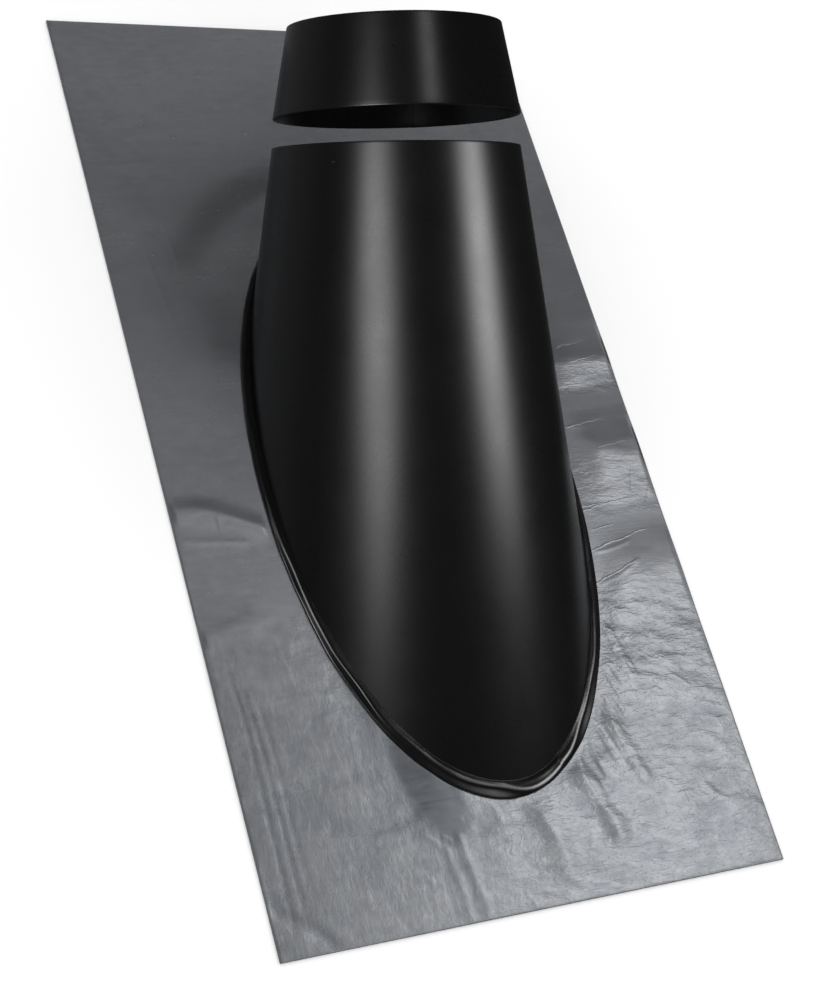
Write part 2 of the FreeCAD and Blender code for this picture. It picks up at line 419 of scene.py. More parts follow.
def sheet_cone(name, origin, u, e2, r_top, slope_deg, wall, length_of, centre, lap, ease_out,
               ease_in, hole, material, rows, foot_z=None, flange=0.0, edge=0.45):
    """A rolled and lapped sheet-metal cone with rounded edges and a hang hole.

    r_top is the outside radius at origin and s runs down the axis from there.
    length_of(deg, radius) is the axial length of the outer skin at an angle.
    hole is (angle, distance down the wall, radius).
    """
    tb = math.tan(math.radians(slope_deg))
    cb, sb = math.cos(math.radians(slope_deg)), math.sin(math.radians(slope_deg))
    radial = wall / cb
    hang, hdown, hr = hole
    s_h = hdown * cb
    r_h = r_top + s_h * tb
    step = math.degrees(1.7 / r_h)
    cols4 = [hang + (k - 2) * step for k in range(5)]
    base = np.linspace(0.0, 360.0, 336, endpoint=False)
    deg = lapped_columns(base, centre, lap, [(cols4[0], cols4[-1], cols4)])
    nc = len(deg)
    j0 = int(np.argmin(np.abs(deg - cols4[0])))
    th = np.radians(deg)
    cx, sx = np.cos(th), np.sin(th)
    out_rise = radial * lap_rise(deg, centre + 0.5 * lap, ease_out)
    in_rise = radial * lap_rise(deg, centre - 0.5 * lap, ease_in)

    # rows down the wall, in millimetres along the axis; the first ones hold the hole
    d_row = 1.7 * cb
    near = [0.0, edge, 2.2, 6.0, 11.0]
    near = [s for s in near if s < s_h - 3.2 * d_row]
    holes = [s_h + (k - 2) * d_row for k in range(5)]
    rows_s = near + holes
    i0 = len(near)
    full = length_of(deg)                       # axial length at each column
    rest0 = holes[-1]
    n_rest = rows

    def point(r, s):
        c = origin - np.outer(s, u)
        return c + (r * cx)[:, None] * E1 + (r * sx)[:, None] * e2

    rings = []

    def wall_ring(offset, rise, s):
        """offset is the radial distance in from the outer skin."""
        r = r_top + s * tb - offset + rise
        return point(r, s)

    lim = full if foot_z is None else foot_z    # where the foot's own edge begins
    fr = np.linspace(0, 1, n_rest + 1)[1:]
    # the wall may be shorter than the hole rows near the seam side: rows there squeeze
    squeeze = np.minimum(1.0, (lim - 2.0) / max(rest0 + 6.0, 1.0))
    outer_rows = [np.full(nc, s) * squeeze for s in rows_s]
    last = outer_rows[-1]
    outer_rows += [last + (lim - last) * f for f in fr]
    return dict(deg=deg, nc=nc, j0=j0, i0=i0, outer_rows=outer_rows, wall_ring=wall_ring,
                radial=radial, out_rise=out_rise, in_rise=in_rise, full=full, point=point,
                tb=tb, cb=cb, sb=sb, hr=hr, cx=cx, sx=sx, u=u, e2=e2, s_h=s_h, r_h=r_h,
                hang=hang, origin=origin, step=step)


def build_sheet(name, g, foot_rings, edge, material, i_round=3):
    """Rings: outer wall down, the foot's own rings, inner wall up, rounded mouth."""
    nc = g["nc"]
    radial, out_rise, in_rise = g["radial"], g["out_rise"], g["in_rise"]
    thick = radial + out_rise - in_rise         # double at the lap
    rings, tags = [], []
    # rounded mouth, outer side down to inner side
    R = edge
    for k, row in enumerate(g["outer_rows"]):
        if k == 0:
            continue
        rings.append(g["wall_ring"](0.0, out_rise, row)); tags.append(("o", k))
    rings += foot_rings; tags += [("f", 0)] * len(foot_rings)
    for k in range(len(g["outer_rows"]) - 1, 0, -1):
        rings.append(g["wall_ring"](radial, in_rise, g["outer_rows"][k])); tags.append(("i", k))
    # mouth: a half round from the inner skin over to the outer skin
    n_mouth = 5
    s1 = g["outer_rows"][1]
    for k in range(1, n_mouth + 1):
        a = math.pi * k / (n_mouth + 1)
        f = 0.5 * (1 - math.cos(a))             # 0 at the inner skin, 1 at the outer
        s = s1 * (1 - math.sin(a) ** 0.8)
        ri = -radial + in_rise
        ro = out_rise
        rings.append(g["wall_ring"](0.0, ri + (ro - ri) * f, s)); tags.append(("m", k))
    nr = len(rings)
    verts = np.concatenate(rings)
    faces = torus_faces(nr, nc)
    # hang hole: take out four by four cells in each skin and rim them with a circle
    idx = {t: i for i, t in enumerate(tags)}
    i0, j0 = g["i0"], g["j0"]
    kill = set()
    extra_v, extra_f = [], []

    def perimeter(kind):
        ks = [i0 + k for k in range(5)]
        js = [(j0 + k) % nc for k in range(5)]
        path = [(ks[0], js[k]) for k in range(4)] + [(ks[k], js[4]) for k in range(4)] \
            + [(ks[4], js[4 - k]) for k in range(4)] + [(ks[4 - k], js[0]) for k in range(4)]
        rows = [idx[(kind, k)] for k in ks]
        lo = min(rows)
        for a in range(4):
            for b in range(4):
                r = min(rows[a], rows[a + 1])
                kill.add((r, (j0 + b) % nc))
        return [idx[(kind, k)] * nc + j for k, j in path]

    centre_n = None
    loops = {}
    for kind, off in (("o", 0.0), ("i", radial)):
        ring = perimeter(kind)
        a = math.radians(g["hang"])
        cb, sb = g["cb"], g["sb"]
        rr = g["r_h"] - off
        er = math.cos(a) * E1 + math.sin(a) * g["e2"]
        et = -math.sin(a) * E1 + math.cos(a) * g["e2"]
        down = -g["u"] * cb + er * sb
        c = g["origin"] - g["u"] * g["s_h"] + er * rr
        P = verts[ring]
        d = P - c
        ang = np.arctan2(d @ down, d @ et)
        loop_ids = []
        for scale in (1.35, 1.0):
            ids = []
            for t in ang:
                q = c + (math.cos(t) * et + math.sin(t) * down) * (g["hr"] * scale)
                # keep the ring on the curved skin
                ax = (q - g["origin"]) @ (-g["u"])
                rad = (q - g["origin"]) + g["u"] * ax
                want = g["r_h"] + (ax - g["s_h"]) * g["tb"] - off
                rad = rad / np.linalg.norm(rad) * want
                q = g["origin"] - g["u"] * ax + rad
                ids.append(len(verts) + len(extra_v)); extra_v.append(q)
            loop_ids.append(ids)
        loops[kind] = (ring, loop_ids)
    n = 16
    for kind in ("o", "i"):
        ring, (mid, rim) = loops[kind]
        for k in range(n):
            k2 = (k + 1) % n
            q1 = (ring[k], ring[k2], mid[k2], mid[k])
            q2 = (mid[k], mid[k2], rim[k2], rim[k])
            if kind == "i":
                q1, q2 = q1[::-1], q2[::-1]
            extra_f += [q1, q2]
    ro, ri = loops["o"][1][1], loops["i"][1][1]
    for k in range(n):
        k2 = (k + 1) % n
        extra_f.append((ro[k], ro[k2], ri[k2], ri[k]))
    keep = [tuple(f) for n_f, f in enumerate(faces.tolist())
            if (n_f // nc, n_f % nc) not in kill]
    all_v = np.vstack([verts, np.array(extra_v)])
    return make_object(name, all_v, [keep, extra_f], material), nr


def fix_normals(ob):
    import bmesh
    bm = bmesh.new()
    bm.from_mesh(ob.data)
    bmesh.ops.recalc_face_normals(bm, faces=bm.faces)
    bm.to_mesh(ob.data)
    bm.free()
    ob.data.update()


# ---- flashing cone
def cone_length(deg, r_add=0.0, z=apron_t):
    s = np.sin(np.radians(deg))
    return (MOUTH[2] - z - (mouth_r + r_add) * U[1] * s) / (U[2] + math.tan(beta) * U[1] * s)


def cone_rows_end(deg):
    return cone_length(deg, 0.0, apron_t + 2.6)


g = sheet_cone("flashing_cone", MOUTH, U, E2, mouth_r, 8.38, cone_wall, cone_rows_end,
               90.0, 12.0, 58.0, 46.0, (214.2, 18.0, 1.5), black_coat, 26)

yc, ea, eb = foot_ellipse(apron_t)


def ellipse_at(deg, z, r_add):
    """Point of the cone skin (r_add off the outer one) at height z."""
    s = cone_length(deg, r_add, z)
    r = mouth_r + s * math.tan(beta) + r_add
    th = np.radians(deg)
    return (MOUTH - np.outer(s, U) + (r * np.cos(th))[:, None] * E1
            + (r * np.sin(th))[:, None] * E2)


def outward(pxy):
    """Outward unit normal in the plane for points near the foot ellipse."""
    n = np.stack([pxy[:, 0] / ea ** 2, (pxy[:, 1] - yc) / eb ** 2], 1)
    return n / np.linalg.norm(n, axis=1)[:, None]


deg = g["deg"]
po = ellipse_at(deg, apron_t + 1.2, g["out_rise"])
N2 = outward(po[:, :2])
Nv = np.column_stack([N2, np.zeros(len(N2))])
pi_ = ellipse_at(deg, apron_t, -g["radial"] + g["in_rise"])
foot = []
p0 = ellipse_at(deg, apron_t + 1.2 + 0.45, g["out_rise"])
foot.append(p0)
for w, z in ((0.5, 1.22), (2.5, 1.2), (6.55, 1.2), (6.92, 1.05), (7.0, 0.6), (6.92, 0.15), (6.55, 0.0)):
    q = po + Nv * w
    q[:, 2] = apron_t + z
    foot.append(q)
q = pi_ + 0.35 * Nv
q[:, 2] = apron_t
foot.append(q)
q = ellipse_at(deg, apron_t + 0.3, -g["radial"] + g["in_rise"])
foot.append(q)
cone_ob, _ = build_sheet("flashing_cone_skin", g, foot, 0.5, black_coat)
fix_normals(cone_ob)

# ---- storm collar
collar_h, col_r_low, col_r_top, col_wall = 84.8, 117.9, 100.5, 1.0
lean = math.radians(58.0 + 1.5)
UC = np.array([0.0, math.sin(lean), math.cos(lean)])
E2C = np.array([0.0, math.cos(lean), -math.sin(lean)])
slope = (col_r_low - col_r_top) / collar_h
col_top_out = col_r_top + col_wall * math.sqrt(1 + slope * slope)
col_angle = math.degrees(math.atan((col_r_low - col_top_out) / collar_h))
COL_TOP = MOUTH + U * (28.0 + collar_h)
gc = sheet_cone("storm_collar", COL_TOP, UC, E2C, col_top_out, col_angle, col_wall,
                lambda d: np.full(len(d), collar_h - 1.5), 61.6, 16.0, 62.0, 46.0,
                (241.4, 32.0, 1.2), black_coat, 10)
d2 = gc["deg"]
foot = []
n_edge = 5
s1 = gc["outer_rows"][-1][0]
for k in range(1, n_edge + 1):
    a = math.pi * k / (n_edge + 1)
    f = 0.5 * (1 - math.cos(a))
    s = np.full(len(d2), s1 + (collar_h - s1) * math.sin(a) ** 0.8)
    ro, ri = gc["out_rise"], -gc["radial"] + gc["in_rise"]
    foot.append(gc["wall_ring"](0.0, ro + (ri - ro) * f, s))
collar_ob, _ = build_sheet("storm_collar_skin", gc, foot, 0.45, black_coat)
fix_normals(collar_ob)


# ---------------------------------------------------------------- foot seam band
def band_mesh():
    n = 900
    t = np.linspace(0, TAU, n, endpoint=False)
    ex, ey = ea * np.cos(t), yc + eb * np.sin(t)
    E = np.stack([ex, ey], 1)
    N = outward(E)
    # slope of the cone's wall across the foot line: how far it moves out per mm of height
    P = np.column_stack([E, np.full(n, apron_t)])
    v = P - APEX
    ax = v @ U
    rad = v - np.outer(ax, U)
    rad /= np.linalg.norm(rad, axis=1)[:, None]
    nn = rad * math.cos(beta) + U * math.sin(beta)
    lean_out = -nn[:, 2] / (nn[:, 0] * N[:, 0] + nn[:, 1] * N[:, 1])
    deg = np.degrees(t)
    arc = np.concatenate([[0], np.cumsum(np.hypot(*np.diff(np.vstack([E, E[:1]]), axis=0).T))])[:-1]
    per = arc[-1] + (arc[-1] - arc[-2])

    def wave(wl, seed):
        k = max(3, int(round(per / wl)))
        r = np.random.RandomState(seed).uniform(-1, 1, k)
        u = arc / per * k
        i = np.floor(u).astype(int)
        f = u - i
        f = f * f * (3 - 2 * f)
        return r[i % k] * (1 - f) + r[(i + 1) % k] * f

    # the strip's two ends lap at the seam, so the lip steps there
    off = ((np.degrees(t) - PINCH + 180.0) % 360.0 - 180.0) / 360.0 * per
    lapped = smooth(-3.0, 2.5, off) * (1.0 - smooth(25.0, 110.0, off))
    tail = (1.0 - smooth(-3.0, 2.5, off)) * smooth(-90.0, -12.0, off)
    nick = np.exp(-(off / 3.2) ** 2)
    inner = 3.35 + 0.22 * wave(60, 11) + 0.06 * wave(21, 12) + 0.22 * lapped - 0.20 * tail
    ridge = 4.62 + 0.26 * wave(44, 13) + 0.13 * wave(17, 14) + 0.15 * lapped - 0.25 * nick
    wide = 8.10 + 0.56 * wave(46, 15) + 0.28 * wave(17, 16)
    gut = 4.12 + 0.26 * wave(38, 17) + 0.12 * lapped
    bead = 0.58 + 0.10 * wave(40, 18) + 0.05 * tail
    # at the left the strip lies flatter and wider, at the right its ridge is worn down
    at = deg % 360.0
    flat = hill(at, 176, 198, 230, 244)
    slant = hill(at, 230, 244, 262, 276)
    worn = hill(at, 293, 305, 345, 358)
    inner = inner + 0.80 * flat + 0.35 * slant + 0.45 * worn
    gut = gut + 0.60 * flat + 0.40 * slant + 0.30 * worn
    ridge = ridge + 0.05 * flat - 0.10 * slant - 0.22 * worn
    bead = bead - 0.22 * flat - 0.24 * slant - 0.28 * worn
    wide = wide + 0.35 * flat + 0.25 * slant
    brim = 2.1 - 0.5 * worn - 0.2 * slant
    wi = lean_out * inner
    wo = wide
    span = wo - wi

    def sec(w, h):
        return np.column_stack([E + N * w[:, None], apron_t + h])

    sect = [
        (wi - 0.30, inner - 0.12),
        (wi + 0.13, inner + 0.29),
        (wi + 0.17 + 0.05 * span, inner + 0.37),
        (wi + 0.15 * span, 0.60 * inner + 0.40 * gut + 0.24),
        (wi + 0.27 * span, gut + 0.04),
        (wi + (bead - 0.17) * span, 0.42 * gut + 0.58 * ridge),
        (wi + bead * span, ridge),
        (wi + (bead + 0.15) * span, ridge - 0.34),
        (wi + (bead + 0.28) * span, ridge - 1.20),
        (wo - 0.25, brim),
        (wo + 0.05, 1.0 + 0 * wo),
        (wo + 0.0, 0.35 + 0 * wo),
        (wo - 0.2, 0.02 + 0 * wo),
    ]
    pts = np.array([sec(w, h) for w, h in sect])      # k, n, 3
    # smooth the shown side of the section
    k = len(pts)
    fine = []
    m = 4
    pad = np.concatenate([[2 * pts[0] - pts[1]], pts, [2 * pts[-1] - pts[-2]]])
    for i in range(k - 1):
        a, b, c, d = pad[i], pad[i + 1], pad[i + 2], pad[i + 3]
        for f in np.linspace(0, 1, m, endpoint=False):
            fine.append(0.5 * (2 * b + (c - a) * f + (2 * a - 5 * b + 4 * c - d) * f * f
                               + (3 * b - a - 3 * c + d) * f ** 3))
    fine.append(pts[-1])
    fine = [np.column_stack([q[:, :2], np.clip(q[:, 2], apron_t + 0.0, apron_t + 5.19)]) for q in fine]
    # hidden side: over the flange and up the wall
    w7 = np.full(n, 7.12)
    fine.append(sec(w7 + 0.25, np.full(n, 0.0)))
    fine.append(sec(w7, np.full(n, 0.12)))
    fine.append(sec(w7, np.full(n, 1.30)))
    fine.append(sec(lean_out * 1.3 + np.maximum(0.5, 0.0), np.full(n, 1.30)))
    fine.append(sec(lean_out * (inner * 0.6 + 0.5) - 0.25, inner * 0.6 + 0.5))
    rings = np.concatenate(fine)
    return make_object("foot_seam_band_skin", rings, [torus_faces(len(fine), n)], gloss_black)


PINCH = 289.0
band_ob = band_mesh()
fix_normals(band_ob)


# ---------------------------------------------------------------- lead apron
def apron_relief(x, y):
    """Height of the sheet's face above flat, and the slow part of it."""
    f = np.hypot(x / ea, (y - yc) / eb)                    # 1 on the foot line
    gx, gy = x / ea ** 2, (y - yc) / eb ** 2
    out_mm = (f - 1.0) * f / np.maximum(np.hypot(gx, gy), 1e-9)   # about the distance from the foot line
    free = smooth(9.0, 17.0, out_mm)                       # flat under the band
    edge = np.minimum(260 - np.abs(x), 475 - np.abs(y))
    lower = smooth(-20, -260, y)
    right = smooth(-150, 120, x)
    worked = smooth(-160, -222, y) * (0.30 + 0.70 * right)
    mid_right = smooth(140, 195, x) * (hill(y, -114, -98, -50, -30) + hill(y, 22, 34, 58, 74))

    slow = 0.45 * (fnoise(x, y, 230, 120, 21, 2) + 0.9)
    slow += lower * 0.35 * (fnoise(x, y, 90, 60, 25, 2) + 0.6)
    slow = np.maximum(slow, 0.0) * smooth(10.0, 42.0, out_mm) * (0.35 + 0.65 * smooth(0, 40, edge))

    d = np.zeros_like(x)
    place = ((x + 86 + 0.22 * (y + 345)) / 29) ** 2 + ((y + 345) / 58) ** 2
    calm = 1 - smooth(0.6, 1.8, place)
    level = 1 - smooth(0.8, 4.0, place)
    slow = slow * (1 - level) + 0.40 * level * smooth(4.0, 8.0, out_mm)
    worked = worked * (1 - calm)
    left_low = lower * (1 - right) * (1 - 0.9 * calm)
    # slack across the sheet
    d += 0.07 * fnoise(x, y, 120, 34, 31, 3, 0.5, 4)
    d += lower * 0.10 * fnoise(x, y, 70, 26, 33, 3, 0.55, -6)
    d += worked * 0.52 * fnoise(x, y, 58, 22, 35, 3, 0.5, -9)
    d += worked * 0.34 * (1 - 2.2 * np.abs(fnoise(x, y, 60, 19, 36, 2, 0.5, -16)))
    d += worked * 0.14 * fnoise(x, y, 22, 9, 39, 3, 0.6, -10)
    d += worked * 0.13 * (1 - 2.2 * np.abs(fnoise(x, y, 27, 11, 40, 2, 0.5, -4)))
    d += left_low * 0.42 * fnoise(x, y, 62, 44, 44, 2, 0.5, 20)
    d += left_low * 0.13 * fnoise(x, y, 46, 14, 45, 3, 0.6, 86)
    d += left_low * 0.13 * fnoise(x, y, 34, 13, 47, 3, 0.6, -4)
    d += mid_right * 0.20 * fnoise(x, y, 40, 12, 43, 3, 0.55, -8)
    # puckers pressed in by the dressing tool, square to the foot's lower right
    ang = np.degrees(np.arctan2((y - yc) / eb, x / ea))
    pucker = fnoise(x, y, 60, 13, 49, 3, 0.55, -74)
    pwin = hill(ang, -74, -62, -34, -22) * hill(out_mm, 10, 16, 30, 62)
    d += pwin * (1.0 * pucker - 0.30)
    pwin2 = hill(ang, -112, -96, -80, -66) * hill(out_mm, 10, 16, 22, 42)
    d += pwin2 * (0.6 * pucker - 0.35)
    lines = [
        # points, half width, height, lopsided
        # left: a step, a soft fold and three long creases from rolling up
        ([(-262, -66), (-222, -70), (-176, -88)], 11.0, 1.25, 0),
        ([(-259, -96), (-188, -103)], 2.6, 0.28, 0),
        ([(-216, -72), (-214, -104)], 2.0, 0.22, 0),
        ([(-262, -192), (-213, -182)], 11.0, 1.05, 0),
        ([(-196, -172), (-190, -214), (-184, -255)], 1.8, 0.17, 0),
        ([(-240, -254), (-182, -255), (-146, -257)], 1.9, 0.24, 0),
        ([(-244, -212), (-239, -263), (-239, -334), (-240, -397), (-241, -470)], 2.3, -0.26, 0),
        ([(-236, -222), (-230, -285), (-229, -350), (-229, -410), (-226, -462)], 2.2, -0.25, 0),
        ([(-224, -240), (-219, -310), (-220, -380), (-214, -440)], 2.6, -0.20, 0),
        # swellings below the foot, their left flanks turned from the light
        ([(22, -396), (28, -418), (32, -446)], 13.0, 1.40, 0),
        ([(72, -366), (84, -392), (94, -424)], 10.0, 1.60, 0),
        ([(122, -318), (130, -345), (138, -372)], 8.0, 1.15, 0),
        ([(-258, -432), (-226, -452), (-206, -474)], 5.0, -0.80, 0),
        ([(-219, -331), (-154, -332)], 6.0, -0.46, 0),
        ([(-178, -347), (-117, -366)], 9.0, 0.40, 0),
        ([(-186, -374), (-146, -380), (-106, -374)], 5.0, -0.60, 0),
        # right: a sharp fold with dull lead above it, scores and ridges
        ([(154, -148), (184, -145), (212, -138)], 1.6, 0.20, 0),
        ([(148, -184), (186, -173), (215, -158)], 1.7, 0.24, 0),
        ([(134, -251), (152, -245), (175, -235)], 1.8, 0.26, 0),
        ([(123, -333), (150, -340), (174, -336)], 1.8, 0.26, 0),
        ([(124, -357), (160, -362), (202, -359)], 1.8, 0.22, 0),
        ([(220, 141), (240, 150), (261, 159)], 1.5, 0.12, 0),
        ([(196, 81), (226, 86), (251, 92)], 1.5, 0.12, 0),
        ([(177, -10), (216, -9), (255, -4)], 1.5, 0.14, 0),
        ([(202, -393), (220, -410), (259, -419)], 4.0, 0.50, 0),
        ([(206, -372), (240, -380), (259, -384)], 3.0, -0.35, 0),
        ([(-68, -402), (-64, -440), (-60, -475)], 5.0, 0.35, 0),
        ([(-84, -408), (-80, -440), (-78, -472)], 4.0, 0.25, 0),
        # scores from handling, upper left
        ([(-200, 297), (-195, 250), (-188, 172)], 1.3, 0.07, 0),
        ([(-221, 250), (-217, 181), (-205, 102)], 1.3, 0.07, 0),
    ]
    for pts, wd, amp, _ in lines:
        pts = curve_through(pts, 6) if len(pts) > 2 else np.array(pts, float)
        lo, hi = pts.min(0) - 5 * wd, pts.max(0) + 5 * wd
        m = (x > lo[0]) & (x < hi[0]) & (y > lo[1]) & (y < hi[1])
        if not m.any():
            continue
        wob = 0.6 * wd * fnoise(x[m], y[m], 40, 40, 71, 1)
        r, side, along = poly_dist(x[m], y[m], pts)
        r = np.abs(r + wob * 0.5)
        ends = smooth(0.0, 0.12, along) * (1 - smooth(0.88, 1.0, along)) if wd < 4 else 1.0
        d[m] += amp * np.exp(-(r / wd) ** 2) * ends
    # bulges on the right that turn the sheet towards the light
    clear = smooth(10, 50, out_mm)
    for cy, x0, up, down, amp in ((60, 160, 62, 34, 3.6), (-44, 158, 50, 66, 4.3),
                                  (-184, 100, 58, 56, 2.1)):
        tilt = 0.10 * (x - x0)
        yy = y - cy - tilt
        prof = np.where(yy > 0, 1 - smooth(0, up, yy), 1 - ramp(-yy / down))
        d += amp * prof * clear * smooth(x0, x0 + 60, x) * (0.9 + 0.16 * fnoise(x, y, 60, 24, 77, 2))
    # random short wrinkles over the worked corner
    rs = np.random.RandomState(9)
    for k in range(120):
        px, py = rs.uniform(60, 255), rs.uniform(-468, -190)
        if k % 3 == 0:
            px, py = rs.uniform(-200, 200), rs.uniform(-470, -385)
        L = rs.uniform(9, 32)
        a = math.radians(rs.normal(-8, 20))
        bend = rs.uniform(-3, 3)
        pts = curve_through([(px, py), (px + 0.5 * L * math.cos(a), py + 0.5 * L * math.sin(a) + bend),
                             (px + L * math.cos(a), py + L * math.sin(a))], 5)
        wd = rs.uniform(1.3, 2.6)
        amp = rs.choice([-1, 1]) * rs.uniform(0.08, 0.22)
        lo, hi = pts.min(0) - 4 * wd, pts.max(0) + 4 * wd
        m = (x > lo[0]) & (x < hi[0]) & (y > lo[1]) & (y < hi[1])
        if not m.any():
            continue
        r, side, along = poly_dist(x[m], y[m], pts)
        d[m] += amp * np.exp(-(r / wd) ** 2) * smooth(0, 0.2, along) * (1 - smooth(0.8, 1, along))
    d *= free * (0.25 + 0.75 * smooth(0, 6, edge))
    return slow, d


def apron_mesh():
    hw, hl = 0.5 * apron_w, 0.5 * apron_l

    def side(n, length, dense_first):
        """Places along a side, closer together at the end named."""
        t = np.linspace(0, 1, n, endpoint=False)
        k = 0.28
        s = t - k * t * (1 - t) if dense_first else t + k * t * (1 - t)
        return s * length

    cols = []
    for s in np.linspace(0, 2 * hw, 250, endpoint=False):
        cols.append((-hw + s, -hl))
    for s in side(370, 2 * hl, True):
        cols.append((hw, -hl + s))
    for s in np.linspace(0, 2 * hw, 170, endpoint=False):
        cols.append((hw - s, hl))
    for s in side(370, 2 * hl, False):
        cols.append((-hw, hl - s))
    cols = np.array(cols)
    nc = len(cols)
    iyc, ia, ib = foot_ellipse(apron_t, cone_wall)
    ia, ib = ia - 2.0, ib - 2.0
    phi = np.arctan2((cols[:, 1] - iyc) / ib, cols[:, 0] / ia)
    inn = np.stack([ia * np.cos(phi), iyc + ib * np.sin(phi)], 1)
    # the rim lies just inside the true edge, so that the edge can be rounded
    sgn = np.stack([np.clip(cols[:, 0] / hw * 1e6, -1, 1) * (np.abs(cols[:, 0]) >= hw - 1e-6),
                    np.clip(cols[:, 1] / hl * 1e6, -1, 1) * (np.abs(cols[:, 1]) >= hl - 1e-6)], 1)
    rim = cols - 0.5 * sgn
    K = 68
    ts = np.linspace(0, 1, K + 1)
    rings, relief = [], []

    def ring(xy, top, z_off):
        slow, d = apron_relief(xy[:, 0], xy[:, 1])
        z = slow + (d + apron_t if top else 0.0) + z_off
        relief.append(d if top else np.zeros(len(d)))
        return np.column_stack([xy, z])

    for t in ts:
        rings.append(ring(inn + (rim - inn) * t, True, 0.0))
    e1 = ring(rim + 0.36 * sgn, True, -0.15); rings.append(e1)
    e2 = ring(cols, True, -0.5); rings.append(e2)
    e3 = ring(cols, False, 0.5); rings.append(e3)
    e4 = ring(rim + 0.36 * sgn, False, 0.15); rings.append(e4)
    e5 = ring(rim, False, 0.0); rings.append(e5)
    for t in (0.72, 0.45, 0.2, 0.0):
        rings.append(ring(inn + (rim - inn) * t, False, 0.0))
    rings = [np.column_stack([r[:, :2], np.maximum(r[:, 2], 0.0)]) for r in rings]
    ob = make_object("lead_apron_skin", np.concatenate(rings),
                     [torus_faces(len(rings), nc)], lead)
    at = ob.data.attributes.new("relief", "FLOAT", "POINT")
    at.data.foreach_set("value", np.concatenate(relief).astype(np.float32))
    return ob


apron_ob = apron_mesh()
fix_normals(apron_ob)


# ---------------------------------------------------------------- ride, replace
for ob, node, slot in ((apron_ob, "lead_apron", "lead"),
                       (cone_ob, "flashing_cone", "black_coat"),
                       (band_ob, "foot_seam_band", "gloss_black"),
                       (collar_ob, "storm_collar", "black_coat")):
    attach(ob, "root")
    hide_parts(node)


# ---------------------------------------------------------------- studio
def floor():
    m, nt, bsdf = new_material("studio_floor")
    obj = nt.nodes.new("ShaderNodeTexCoord").outputs["Object"]
    n = noise_node(nt, obj, 3.0, 2.0, 0.5)
    nt.links.new(mix_color(nt, n.outputs["Fac"], (0.93, 0.93, 0.93), (0.95, 0.95, 0.95)),
                 bsdf.inputs["Base Color"])
    bsdf.inputs["Roughness"].default_value = 0.9
    bsdf.inputs["Specular IOR Level"].default_value = 0.0
    r, k = 6000.0, 96
    a = np.linspace(0, TAU, k, endpoint=False)
    v = [(r * math.cos(t), r * math.sin(t), -0.05) for t in a]
    ob = make_object("studio_floor", v, [[tuple(range(k))]], m)
    ob.visible_glossy = False
    return ob


floor_ob = floor()

world = bpy.data.worlds.new("studio")
scene.world = world
world.use_nodes = True
world.cycles.sampling_method = "NONE"
wt = world.node_tree
for n in list(wt.nodes):
    wt.nodes.remove(n)
w_out = wt.nodes.new("ShaderNodeOutputWorld")
bg_soft = wt.nodes.new("ShaderNodeBackground")      # soft light on everything
bg_soft.inputs["Color"].default_value = (1, 1, 1, 1)
bg_soft.inputs["Strength"].default_value = 1.12
bg_room = wt.nodes.new("ShaderNodeBackground")      # what shiny surfaces see
w_mix = wt.nodes.new("ShaderNodeMixShader")
lp = wt.nodes.new("ShaderNodeLightPath")
wt.links.new(lp.outputs["Is Glossy Ray"], w_mix.inputs[0])
wt.links.new(bg_soft.outputs[0], w_mix.inputs[1])
wt.links.new(bg_room.outputs[0], w_mix.inputs[2])
wt.links.new(w_mix.outputs[0], w_out.inputs[0])
w_dir = wt.nodes.new("ShaderNodeTexCoord").outputs["Generated"]


def dot_dir(v):
    n = wt.nodes.new("ShaderNodeVectorMath")
    n.operation = "DOT_PRODUCT"
    wt.links.new(w_dir, n.inputs[0])
    n.inputs[1].default_value = Vector(v).normalized()
    return n.outputs["Value"]


low = map_range(wt, dot_dir((-0.35, 0.45, -0.80)), 0.25, 0.85, 0.035, 0.21, True)
wt.links.new(low, bg_room.inputs["Strength"])


def softbox(name, centre, aim, along, width, length, radiance, across=(0.5, 0.5), ends=(0.15, 0.15),
            only=None, colour=(1, 1, 1)):
    """An area light with soft edges, seen in reflections only.

    across and ends are the shares of the width and length over which it fades.
    """
    ld = bpy.data.lights.new(name, "AREA")
    ld.shape = "RECTANGLE"
    ld.size, ld.size_y = width, length
    ld.energy = radiance * 4.0 * width * length
    ld.color = colour
    ld.use_nodes = True
    nt = ld.node_tree
    em = next(n for n in nt.nodes if n.type == "EMISSION")
    geo = nt.nodes.new("ShaderNodeNewGeometry")
    sep = nt.nodes.new("ShaderNodeSeparateXYZ")
    nt.links.new(geo.outputs["Parametric"], sep.inputs[0])

    def window(v, lo, hi):
        a = map_range(nt, v, 0.0, max(lo, 1e-3), 0.0, 1.0, True)
        b = map_range(nt, v, 1.0 - max(hi, 1e-3), 1.0, 1.0, 0.0, True)
        return math_node(nt, "MULTIPLY", a, b)

    wx = window(sep.outputs["X"], *across)
    wy = window(sep.outputs["Y"], *ends)
    nt.links.new(math_node(nt, "MULTIPLY", wx, wy), em.inputs["Strength"])
    ob = bpy.data.objects.new(name, ld)
    scene.collection.objects.link(ob)
    c, a = Vector(centre), Vector(aim)
    z = (c - a).normalized()                     # lights shine down their -Z
    y = Vector(along)
    y = (y - z * y.dot(z)).normalized()
    x = y.cross(z)
    ob.matrix_world = Matrix(((x.x, y.x, z.x, c.x), (x.y, y.y, z.y, c.y), (x.z, y.z, z.z, c.z), (0, 0, 0, 1)))
    ob.visible_camera = False
    ob.visible_diffuse = False
    if only:
        col = bpy.data.collections.new(name + "_on")
        for o in only:
            col.objects.link(o)
        ob.light_linking.receiver_collection = col
    return ob


